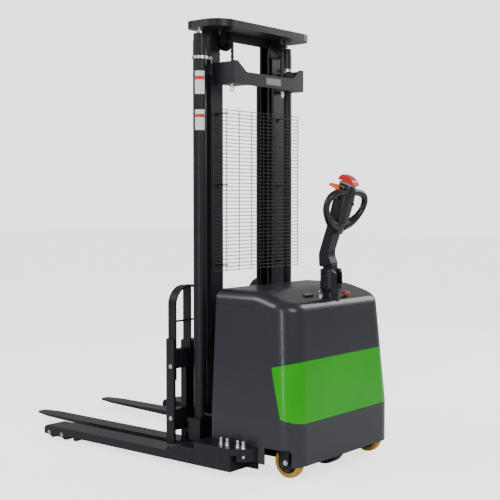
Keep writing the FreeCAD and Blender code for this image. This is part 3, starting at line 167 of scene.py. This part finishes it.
finishes = {
    "frame_paint": {
        "base": (0.011, 0.012, 0.016), "worn": (0.05, 0.053, 0.06),
        "grain": 900.0, "wear": 0.3, "rough": (0.3, 0.42), "bump": 0.3, "specular": 0.28},
    "hood": {
        "base": (0.02, 0.0215, 0.029), "worn": (0.038, 0.04, 0.05),
        "grain": 260.0, "wear": 0.04, "rough": (0.27, 0.33), "bump": 0.035, "coat": 0.12, "specular": 0.4},
    "panel": {
        "base": (0.012, 0.36, 0.001), "worn": (0.04, 0.4, 0.02),
        "grain": 260.0, "wear": 0.05, "rough": (0.26, 0.33), "bump": 0.035, "coat": 0.15, "specular": 0.25},
    "steel": {
        "base": (0.4, 0.4, 0.41), "worn": (0.2, 0.18, 0.16),
        "grain": 500.0, "wear": 0.5, "rough": (0.26, 0.42), "bump": 0.3, "metal": 1.0},
    "zinc": {
        "base": (0.66, 0.66, 0.67), "worn": (0.45, 0.42, 0.36),
        "grain": 400.0, "wear": 0.4, "rough": (0.2, 0.34), "bump": 0.3, "metal": 1.0},
    "rod": {
        "base": (0.75, 0.75, 0.77), "worn": (0.5, 0.5, 0.5),
        "grain": 300.0, "wear": 0.2, "rough": (0.06, 0.14), "bump": 0.05, "metal": 1.0},
    "wheel_pu": {
        "base": (0.5, 0.27, 0.018), "worn": (0.3, 0.2, 0.08),
        "grain": 350.0, "wear": 0.5, "rough": (0.35, 0.5), "bump": 0.3},
    # the drive wheel's tyre: black rubber, kept near black so that it also stands in as painted shade under
    # the hood
    "tyre": {
        "base": (0.02, 0.02, 0.021), "worn": (0.07, 0.065, 0.06),
        "grain": 350.0, "wear": 0.5, "rough": (0.55, 0.75), "bump": 0.6},
    "chain": {
        "base": (0.045, 0.044, 0.043), "worn": (0.3, 0.28, 0.26),
        "grain": 300.0, "wear": 0.6, "rough": (0.3, 0.46), "bump": 0.4, "metal": 0.9},
    "nylon": {
        "base": (0.62, 0.62, 0.58), "worn": (0.4, 0.4, 0.36),
        "grain": 400.0, "wear": 0.4, "rough": (0.5, 0.65), "bump": 0.3},
    "black_plastic": {
        "base": (0.008, 0.008, 0.009), "worn": (0.06, 0.06, 0.062),
        "grain": 1400.0, "wear": 0.25, "rough": (0.26, 0.4), "bump": 0.4, "specular": 0.4},
    "red": {
        "base": (0.6, 0.004, 0.006), "worn": (0.7, 0.1, 0.08),
        "grain": 700.0, "wear": 0.2, "rough": (0.22, 0.32), "bump": 0.15, "coat": 0.4},
    "orange": {
        "base": (0.95, 0.13, 0.002), "worn": (0.95, 0.36, 0.1),
        "grain": 700.0, "wear": 0.2, "rough": (0.26, 0.36), "bump": 0.15, "coat": 0.3},
    "hose_rubber": {
        "base": (0.016, 0.016, 0.017), "worn": (0.05, 0.05, 0.05),
        "grain": 900.0, "wear": 0.4, "rough": (0.5, 0.65), "bump": 0.6},
    "aluminium": {
        "base": (0.42, 0.43, 0.44), "worn": (0.22, 0.21, 0.2),
        "grain": 500.0, "wear": 0.5, "rough": (0.34, 0.5), "bump": 0.7, "metal": 1.0},
    "grey_plastic": {
        "base": (0.2, 0.2, 0.21), "worn": (0.3, 0.3, 0.3),
        "grain": 1200.0, "wear": 0.25, "rough": (0.4, 0.52), "bump": 0.4},
    "label": {
        "base": (0.8, 0.8, 0.79), "worn": (0.6, 0.6, 0.58),
        "grain": 900.0, "wear": 0.25, "rough": (0.35, 0.45), "bump": 0.15},
}
finish = {name: makeFinish(name, spec) for name, spec in finishes.items()}
slotOf = {part["node"]: part["material_slot"] for part in frame["record"]["subparts"]}
for name, part in frame["nodes"].items():
    part.data.materials.clear()
    part.data.materials.append(finish[slotOf[name]])
print("finishes on", len(slotOf), "nodes")


# mesh helpers
def addPiece(name, bm, slotName, body, nodes=(), crease=35.0, between=None):
    bmesh.ops.recalc_face_normals(bm, faces=bm.faces[:])
    for face in bm.faces:
        face.smooth = True
    mesh = bpy.data.meshes.new(name)
    bm.to_mesh(mesh)
    bm.free()
    mesh.set_sharp_from_angle(angle=math.radians(crease))
    mesh.materials.append(finish[slotName])
    piece = bpy.data.objects.new(name, mesh)
    bpy.context.scene.collection.objects.link(piece)
    if nodes:
        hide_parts(*nodes)
    if between:
        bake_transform(piece)
    else:
        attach(piece, body)
    return piece


def addBlock(bm, low, high, rounding=0.0, segments=2):
    low, high = Vector(low), Vector(high)
    made = bmesh.ops.create_cube(bm, size=1.0)["verts"]
    for vert in made:
        vert.co = Vector((low[k] + (vert.co[k] + 0.5) * (high[k] - low[k]) for k in range(3)))
    if rounding > 0:
        edges = list({edge for vert in made for edge in vert.link_edges})
        bmesh.ops.bevel(bm, geom=edges, offset=rounding, affect="EDGES", segments=segments,
                        profile=0.5, material=-1)


def addRod(bm, start, end, radius, sides=16, tip=None):
    start, end = Vector(start), Vector(end)
    run = end - start
    turn = run.to_track_quat("Z", "Y").to_matrix().to_4x4()
    bmesh.ops.create_cone(bm, cap_ends=True, segments=sides, radius1=radius,
                          radius2=radius if tip is None else tip, depth=run.length,
                          matrix=Matrix.Translation((start + end) / 2) @ turn)


def lathe(bm, profile, centre, steps):
    centre = Vector(centre)
    verts = [bm.verts.new(centre + Vector((along, 0.0, radius))) for along, radius in profile]
    edges = [bm.edges.new(ends) for ends in zip(verts, verts[1:])]
    edges.append(bm.edges.new((verts[-1], verts[0])))
    bmesh.ops.spin(bm, geom=verts + edges, cent=centre, axis=(1.0, 0.0, 0.0), angle=math.tau,
                   steps=steps, use_merge=True, use_duplicate=False)


def mirrorProfile(half):
    return half + [(-along, radius) for along, radius in reversed(half)]


def smoothLine(points, cuts):
    # Catmull-Rom through the points
    points = [Vector(point) for point in points]
    ends = [2 * points[0] - points[1]] + points + [2 * points[-1] - points[-2]]
    line = []
    for a, b, c, d in zip(ends, ends[1:], ends[2:], ends[3:]):
        for k in range(cuts):
            t = k / cuts
            line.append(0.5 * (2 * b + (c - a) * t + (2 * a - 5 * b + 4 * c - d) * t * t
                               + (3 * b - a - 3 * c + d) * t * t * t))
    line.append(points[-1])
    return line


def skin(bm, rings, closed=False):
    # faces between neighbouring rings, with capped ends unless the rings run round in a circle
    count = len(rings[0])
    for first, second in zip(rings, rings[1:] + rings[:1] if closed else rings[1:]):
        for k in range(count):
            bm.faces.new((first[k], first[(k + 1) % count], second[(k + 1) % count], second[k]))
    if not closed:
        bm.faces.new(rings[0][::-1])
        bm.faces.new(rings[-1])


def sweep(bm, line, radii, acrossAxis, sides):
    acrossAxis = Vector(acrossAxis)
    rings = []
    turns = [math.tau * k / sides for k in range(sides)]
    for i, (point, radius) in enumerate(zip(line, radii)):
        ahead = (line[min(i + 1, len(line) - 1)] - line[max(i - 1, 0)]).normalized()
        side = ahead.cross(acrossAxis).normalized()
        rings.append([bm.verts.new(point + radius * (math.cos(turn) * side + math.sin(turn) * acrossAxis))
                      for turn in turns])
    skin(bm, rings)


def loft(bm, rings):
    skin(bm, [[bm.verts.new(point) for point in ring] for ring in rings])


# the mesh screen, as welded round wires
guard = {"halfX": 0.346, "y": 0.4175, "low": 0.944, "high": 1.743, "rows": 44, "columns": 7, "wire": 0.0019,
         "brackets": (0.972, 1.371, 1.725), "bracketX": 0.244, "mastY": 0.3605}
bracket = {"half": 0.009, "thick": 0.003, "drop": 0.016, "flange": 0.004, "edge": 0.0008, "overlap": 0.0018,
           "boltDrop": 0.009, "boltRadius": 0.005, "boltEnd": 0.008}
wireStep = 0.0003
bm = bmesh.new()
wire, y = guard["wire"], guard["y"]
for row in range(guard["rows"] + 1):
    z = guard["low"] + wire + row * (guard["high"] - guard["low"] - 2 * wire) / guard["rows"]
    addRod(bm, (-guard["halfX"], y - wireStep, z), (guard["halfX"], y - wireStep, z), wire, 10)
for column in range(guard["columns"] + 1):
    x = (2 * column / guard["columns"] - 1) * (guard["halfX"] - wire)
    addRod(bm, (x, y + wireStep, guard["low"]), (x, y + wireStep, guard["high"]), wire, 12)
for z in guard["brackets"]:
    for x in (-guard["bracketX"], guard["bracketX"]):
        left, right, back = x - bracket["half"], x + bracket["half"], guard["mastY"]
        top, front = z + bracket["thick"], y + bracket["overlap"]
        addBlock(bm, (left, back, z - bracket["thick"]), (right, front, top), bracket["edge"])
        front = back + bracket["flange"]
        addBlock(bm, (left, back, z - bracket["drop"]), (right, front, top), bracket["edge"])
        bolt = z - bracket["boltDrop"]
        addRod(bm, (x, back + bracket["thick"], bolt), (x, back + bracket["boltEnd"], bolt),
               bracket["boltRadius"], 6)
addPiece("wireScreen", bm, "frame_paint", "chassis", ("wire_guard",))
print("wire screen")

# leaf chains
chain = {"x": 0.204, "frontY": 0.3305, "rearY": 0.4205, "sheaveY": 0.3755, "sheaveZ": 2.082, "low": 0.575,
         "anchorZ": 1.907, "turnRadius": 0.045, "pitch": 0.0127, "half": 0.0039, "plate": 0.0019,
         "pinHalf": 0.0079, "pinRadius": 0.0019}


def addPlate(bm, a, b, x, half, thick):
    # an oval side plate round two pins, in the plane across x
    ahead = (b - a).normalized()
    side = Vector((0.0, -ahead.z, ahead.y))
    shape = []
    for centre, sign in ((a, -1.0), (b, 1.0)):
        for turn in (-90.0, -45.0, 0.0, 45.0, 90.0):
            turn = math.radians(turn)
            shape.append(centre + sign * half * (math.cos(turn) * ahead + math.sin(turn) * side))
    lowRing = [bm.verts.new(point + Vector((x - thick / 2, 0, 0))) for point in shape]
    highRing = [bm.verts.new(point + Vector((x + thick / 2, 0, 0))) for point in shape]
    skin(bm, [lowRing, highRing])


def buildChain(path):
    made = bmesh.new()
    for middle in (-chain["x"], chain["x"]):
        for i, (a, b) in enumerate(zip(path, path[1:])):
            for offset in ((-0.0068, -0.0023, 0.0023, 0.0068) if i % 2 else (-0.0045, 0.0, 0.0045)):
                addPlate(made, a, b, middle + offset, chain["half"], chain["plate"])
        for point in path:
            addRod(made, point + Vector((middle - chain["pinHalf"], 0, 0)),
                   point + Vector((middle + chain["pinHalf"], 0, 0)), chain["pinRadius"], 8)
    return made


def evenRun(y, low, high):
    count = round((high - low) / chain["pitch"])
    return [Vector((0.0, y, low + (high - low) * k / count)) for k in range(count + 1)]


turnSteps = 11
bend = [Vector((0.0, chain["sheaveY"] - chain["turnRadius"] * math.cos(math.pi * k / turnSteps),
                chain["sheaveZ"] + chain["turnRadius"] * math.sin(math.pi * k / turnSteps)))
        for k in range(1, turnSteps + 1)]
frontPath = evenRun(chain["frontY"], chain["low"] + 0.004, chain["sheaveZ"]) + bend
rearPath = evenRun(chain["rearY"], chain["anchorZ"] + 0.004, chain["sheaveZ"] - 0.0065)
addPiece("liftChainFront", buildChain(frontPath), "chain", "carriage", ("chain_front",), 35.0,
         {"body": "inner", "start": (0.0, chain["frontY"], 0.6), "end": (0.0, chain["frontY"], 2.06)})
addPiece("liftChainRear", buildChain(rearPath), "chain", "chassis", ("chain_rear",), 35.0,
         {"body": "inner", "start": (0.0, chain["rearY"], 1.915), "end": (0.0, chain["rearY"], 2.07)})
print("chains")

# sheaves: flanged rims on a recessed web
sheaveHalf = [(-0.0092, 0.0123), (-0.0092, 0.021), (-0.0058, 0.0225), (-0.0058, 0.033), (-0.0092, 0.0352),
              (-0.0092, 0.0448), (-0.0086, 0.0459), (-0.0083, 0.0412)]
for side, end in ((1, "left"), (-1, "right")):
    bm = bmesh.new()
    lathe(bm, mirrorProfile(sheaveHalf), (side * chain["x"], chain["sheaveY"], chain["sheaveZ"]), 64)
    addPiece("sheaveWheel_" + end, bm, "chain", "sheave_" + end, ("sheave_" + end,))

# casters: a moulded tread on a dark hub, with its bolt
caster = {"x": 0.334, "y": 0.8795, "z": 0.075, "head": 0.0318}
treadHalf = [(-0.0165, 0.0525), (-0.0196, 0.0532), (-0.0212, 0.0575), (-0.0212, 0.064), (-0.0195, 0.0695),
             (-0.015, 0.0733), (-0.007, 0.0748)]
hubHalf = [(-0.0182, 0.0085), (-0.0196, 0.0098), (-0.0196, 0.0195), (-0.0172, 0.0214), (-0.0118, 0.0236),
           (-0.0098, 0.031), (-0.0112, 0.041), (-0.0152, 0.0475), (-0.0178, 0.0495), (-0.0178, 0.0523)]
for side, end in ((1, "left"), (-1, "right")):
    centre = Vector((side * caster["x"], caster["y"], caster["z"]))
    bm = bmesh.new()
    lathe(bm, mirrorProfile(treadHalf), centre, 72)
    addPiece("casterTread_" + end, bm, "wheel_pu", "caster_wheel_" + end, ("caster_wheel_" + end,))
    bm = bmesh.new()
    lathe(bm, mirrorProfile(hubHalf), centre, 72)
    addPiece("casterHub_" + end, bm, "black_plastic", "caster_wheel_" + end)
    bm = bmesh.new()
    for out in (-1, 1):
        foot = centre + Vector((out * caster["head"], 0, 0))
        addRod(bm, foot, foot + Vector((out * 0.0062, 0, 0)), 0.0105, 6)
        addRod(bm, foot, foot + Vector((out * 0.0009, 0, 0)), 0.0128, 28)
    addRod(bm, centre - Vector((caster["head"], 0, 0)), centre + Vector((caster["head"], 0, 0)), 0.0066, 20)
    addPiece("casterBolt_" + end, bm, "zinc", "caster_wheel_" + end)
print("wheels")

# tiller head: a lofted middle between two swept grip loops
headPlace = Matrix.Translation((0.0, 0.9005, 1.146)) @ Matrix.Rotation(math.radians(-18.0), 4, "X")
headRings = [(-0.008, 0.0315, -0.027, 0.031), (-0.004, 0.034, -0.03, 0.034), (0.03, 0.0385, -0.035, 0.04),
             (0.07, 0.043, -0.04, 0.0445), (0.12, 0.0455, -0.0425, 0.0455), (0.17, 0.0455, -0.0428, 0.045),
             (0.205, 0.043, -0.041, 0.042), (0.226, 0.0385, -0.036, 0.037), (0.236, 0.033, -0.031, 0.032),
             (0.24, 0.026, -0.025, 0.026)]


squareness = 0.62


def headRing(z, halfX, low, high, count=40):
    centre, halfY = (low + high) / 2, (high - low) / 2
    ring = []
    for k in range(count):
        turn = math.tau * k / count
        c, q = math.cos(turn), math.sin(turn)
        ring.append(Vector((halfX * math.copysign(abs(c) ** squareness, c),
                            centre + halfY * math.copysign(abs(q) ** squareness, q), z)))
    return ring


bm = bmesh.new()
loft(bm, [headRing(*ring) for ring in headRings])
bmesh.ops.transform(bm, matrix=headPlace, verts=bm.verts[:])
addPiece("headMiddle", bm, "black_plastic", "tiller", ("tiller_head",), 50.0)
gripLine = [(0.024, 0.016, 0.032), (0.072, 0.018, 0.044), (0.114, 0.02, 0.07), (0.146, 0.02, 0.104),
            (0.1575, 0.02, 0.135), (0.154, 0.02, 0.163), (0.133, 0.02, 0.186), (0.095, 0.02, 0.2),
            (0.03, 0.02, 0.204)]
for side, end in ((1, "left"), (-1, "right")):
    bm = bmesh.new()
    line = smoothLine([(side * x, y, z) for x, y, z in gripLine], 7)
    share = [min(1.0, abs(2 * i / (len(line) - 1) - 1.0)) for i in range(len(line))]
    radii = [0.0168 - 0.0012 * max(0.0, 1.0 - 2.2 * part) for part in share]
    radii = [radius + 0.01 * max(0.0, 1.0 - 3.2 * i / (len(line) - 1)) for i, radius in enumerate(radii)]
    sweep(bm, line, radii, (0.0, 1.0, 0.0), 28)
    bmesh.ops.transform(bm, matrix=headPlace, verts=bm.verts[:])
    addPiece("gripLoop_" + end, bm, "black_plastic", "tiller", (), 60.0)
# ribs across the middle's face, and a grey pod under the reverse button
bm = bmesh.new()
for k in range(5):
    z = 0.052 + 0.011 * k
    addBlock(bm, (-0.024, 0.0395, z), (0.024, 0.0462, z + 0.0035), 0.0012)
bmesh.ops.transform(bm, matrix=headPlace, verts=bm.verts[:])
addPiece("headRibs", bm, "black_plastic", "tiller")
bm = bmesh.new()
addBlock(bm, (-0.0285, -0.034, 0.2325), (0.0285, 0.036, 0.2445), 0.004, 3)
bmesh.ops.transform(bm, matrix=headPlace, verts=bm.verts[:])
addPiece("reversePod", bm, "grey_plastic", "tiller")
print("tiller head")

# labels without lettering
cylinderLabels = {"x": 0.346, "y": 0.3315, "radius": 0.0342, "spans": ((1.814, 1.926), (1.638, 1.738))}


def addArcPatch(bm, centre, radius, low, high, fromAngle, toAngle, steps=14):
    inner, outer = [], []
    for k in range(steps + 1):
        turn = math.radians(fromAngle + (toAngle - fromAngle) * k / steps)
        out = Vector((math.cos(turn), math.sin(turn), 0))
        base = Vector((centre[0], centre[1], 0))
        outer.append([bm.verts.new(base + out * radius + Vector((0, 0, z))) for z in (low, high)])
        inner.append([bm.verts.new(base + out * (radius - 0.0006) + Vector((0, 0, z))) for z in (low, high)])
    for k in range(steps):
        bm.faces.new((outer[k][0], outer[k + 1][0], outer[k + 1][1], outer[k][1]))
        bm.faces.new((inner[k][1], inner[k + 1][1], inner[k + 1][0], inner[k][0]))
        for level in (0, 1):
            bm.faces.new((inner[k][level], inner[k + 1][level], outer[k + 1][level], outer[k][level]))
    for k in (0, steps):
        bm.faces.new((inner[k][0], inner[k][1], outer[k][1], outer[k][0]))


bm = bmesh.new()
band = bmesh.new()
for low, high in cylinderLabels["spans"]:
    at = (cylinderLabels["x"], cylinderLabels["y"])
    addArcPatch(bm, at, cylinderLabels["radius"], low, high, -2.0, 84.0)
    middle = low + 0.62 * (high - low)
    addArcPatch(band, at, cylinderLabels["radius"] + 0.0002, middle, middle + 0.16 * (high - low), 1.0, 81.0)
addPiece("cylinderLabel", bm, "label", "chassis")
addPiece("cylinderLabelBand", band, "red", "chassis")
print("labels")


# hood, dash and beam details
beamLabel = {"low": (-0.086, 0.5006, 1.878), "high": (0.034, 0.5012, 1.912)}
bm = bmesh.new()
addBlock(bm, beamLabel["low"], beamLabel["high"], 0.0002, 1)
addPiece("beamLabel", bm, "grey_plastic", "chassis")
gauge = {"x": 0.133, "y": 0.8365, "z": 0.8429, "lean": 0.28}
gaugeLean = Matrix.Rotation(-gauge["lean"], 4, "X")
gaugePlace = Matrix.Translation((gauge["x"], gauge["y"], gauge["z"])) @ gaugeLean
bm = bmesh.new()
addBlock(bm, (-0.027, -0.0075, -0.0012), (0.027, 0.0075, 0.0004), 0.0006)
bmesh.ops.transform(bm, matrix=gaugePlace, verts=bm.verts[:])
addPiece("gaugeFace", bm, "grey_plastic", "chassis")
bm = bmesh.new()
for k in range(5):
    addBlock(bm, (-0.022 + 0.009 * k, -0.0035, 0.0003), (-0.0165 + 0.009 * k, 0.0035, 0.0008))
bmesh.ops.transform(bm, matrix=gaugePlace, verts=bm.verts[:])
addPiece("gaugeBars", bm, "panel", "chassis")
print("details")


# screws round the coloured panel, and the arm's collar
panelScrews = {"y": 0.9706, "places": ((0.19, 0.522), (-0.19, 0.522), (0.27, 0.29), (-0.27, 0.29))}
bm = bmesh.new()
for x, z in panelScrews["places"]:
    y = panelScrews["y"] - 0.0405 * max(0.0, (z - 0.27) / 0.52)
    addRod(bm, (x, y - 0.004, z), (x, y + 0.0008, z), 0.0052, 20, 0.0046)
addPiece("panelScrews", bm, "black_plastic", "chassis")
armRing = {"y": 0.8795, "z": 0.847, "sunk": 0.0075, "inner": 0.0372, "outer": 0.0428, "shoulder": 0.0042,
           "height": 0.006, "taper": 0.0016, "sides": 48}
bm = bmesh.new()
rings = []
for radius, z in ((armRing["inner"], 0.0), (armRing["outer"], 0.0), (armRing["outer"], armRing["shoulder"]),
                  (armRing["outer"] - armRing["taper"], armRing["height"]),
                  (armRing["inner"], armRing["height"])):
    level = armRing["z"] - armRing["sunk"] + z
    rings.append([bm.verts.new((radius * math.cos(turn), armRing["y"] + radius * math.sin(turn), level))
                  for turn in (math.tau * k / armRing["sides"] for k in range(armRing["sides"]))])
skin(bm, rings, closed=True)
addPiece("steeringRing", bm, "black_plastic", "drive")
print("screws and ring")

# studio
stageMaterial = makeFinish("paleFloor", {"base": (0.86, 0.86, 0.87), "worn": (0.8, 0.8, 0.8), "grain": 30.0,
                                         "wear": 0.05, "rough": (0.5, 0.6), "bump": 0.02})
floorMesh = bpy.data.meshes.new("floor")
bm = bmesh.new()
bmesh.ops.create_grid(bm, x_segments=1, y_segments=1, size=30.0)
bm.to_mesh(floorMesh)
bm.free()
floor = bpy.data.objects.new("floor", floorMesh)
floorTree = stageMaterial.node_tree
floorShader = floorTree.nodes["Principled BSDF"]
floorShader.inputs["Emission Color"].default_value = (1.0, 1.0, 1.0, 1.0)
# the floor glows for the camera alone, so that it lights nothing
floorSeen = addNode(floorTree, "ShaderNodeLightPath")
glow = addNode(floorTree, "ShaderNodeMath", operation="MULTIPLY")
glow.inputs[1].default_value = 1.9
feed(floorTree, floorSeen.outputs["Is Camera Ray"], glow.inputs[0])
feed(floorTree, glow.outputs[0], floorShader.inputs["Emission Strength"])
floor.data.materials.append(stageMaterial)
bpy.context.scene.collection.objects.link(floor)

world = bpy.data.worlds.new("studio")
world.use_nodes = True
backdrop = world.node_tree.nodes["Background"]
backdrop.inputs["Color"].default_value = (1.0, 1.0, 1.0, 1.0)
seen = addNode(world.node_tree, "ShaderNodeLightPath")
strength = addNode(world.node_tree, "ShaderNodeMapRange")
strength.inputs["To Min"].default_value = 0.42
strength.inputs["To Max"].default_value = 2.4
feed(world.node_tree, seen.outputs["Is Camera Ray"], strength.inputs["Value"])
feed(world.node_tree, strength.outputs["Result"], backdrop.inputs["Strength"])
bpy.context.scene.world = world


def areaLight(name, spot, aim, size, power):
    lamp = bpy.data.lights.new(name, "AREA")
    lamp.shape = "RECTANGLE"
    lamp.size, lamp.size_y = size
    lamp.energy = power
    holder = bpy.data.objects.new(name, lamp)
    holder.location = spot
    holder.rotation_mode = "QUATERNION"
    holder.rotation_quaternion = (Vector(aim) - Vector(spot)).to_track_quat("-Z", "Y")
    bpy.context.scene.collection.objects.link(holder)


areaLight("keyLight", (4.4, -2.2, 4.4), (0.0, 0.0, 0.9), (2.6, 2.6), 170.0)
areaLight("rearLight", (1.4, 5.4, 3.6), (0.0, 0.4, 0.7), (2.6, 1.8), 130.0)
areaLight("stripLight", (4.6, 2.1, 1.5), (0.3, 0.7, 0.7), (0.3, 2.6), 45.0)
areaLight("farLight", (-4.6, 2.0, 3.2), (0.0, 0.3, 0.9), (2.0, 2.6), 110.0)

camera = bpy.data.cameras.new("camera")
camera.lens = 74.16
camera.sensor_width = 36.0
viewer = bpy.data.objects.new("camera", camera)
turn, rise = math.radians(129.33), math.radians(2.83)
back = Vector((math.sin(turn) * math.cos(rise), -math.cos(turn) * math.cos(rise), math.sin(rise)))
viewer.location = (4.131, 3.7515, 1.3)
viewer.rotation_mode = "QUATERNION"
viewer.rotation_quaternion = (-back).to_track_quat("-Z", "Y")
bpy.context.scene.collection.objects.link(viewer)
bpy.context.scene.camera = viewer
print("studio ready")
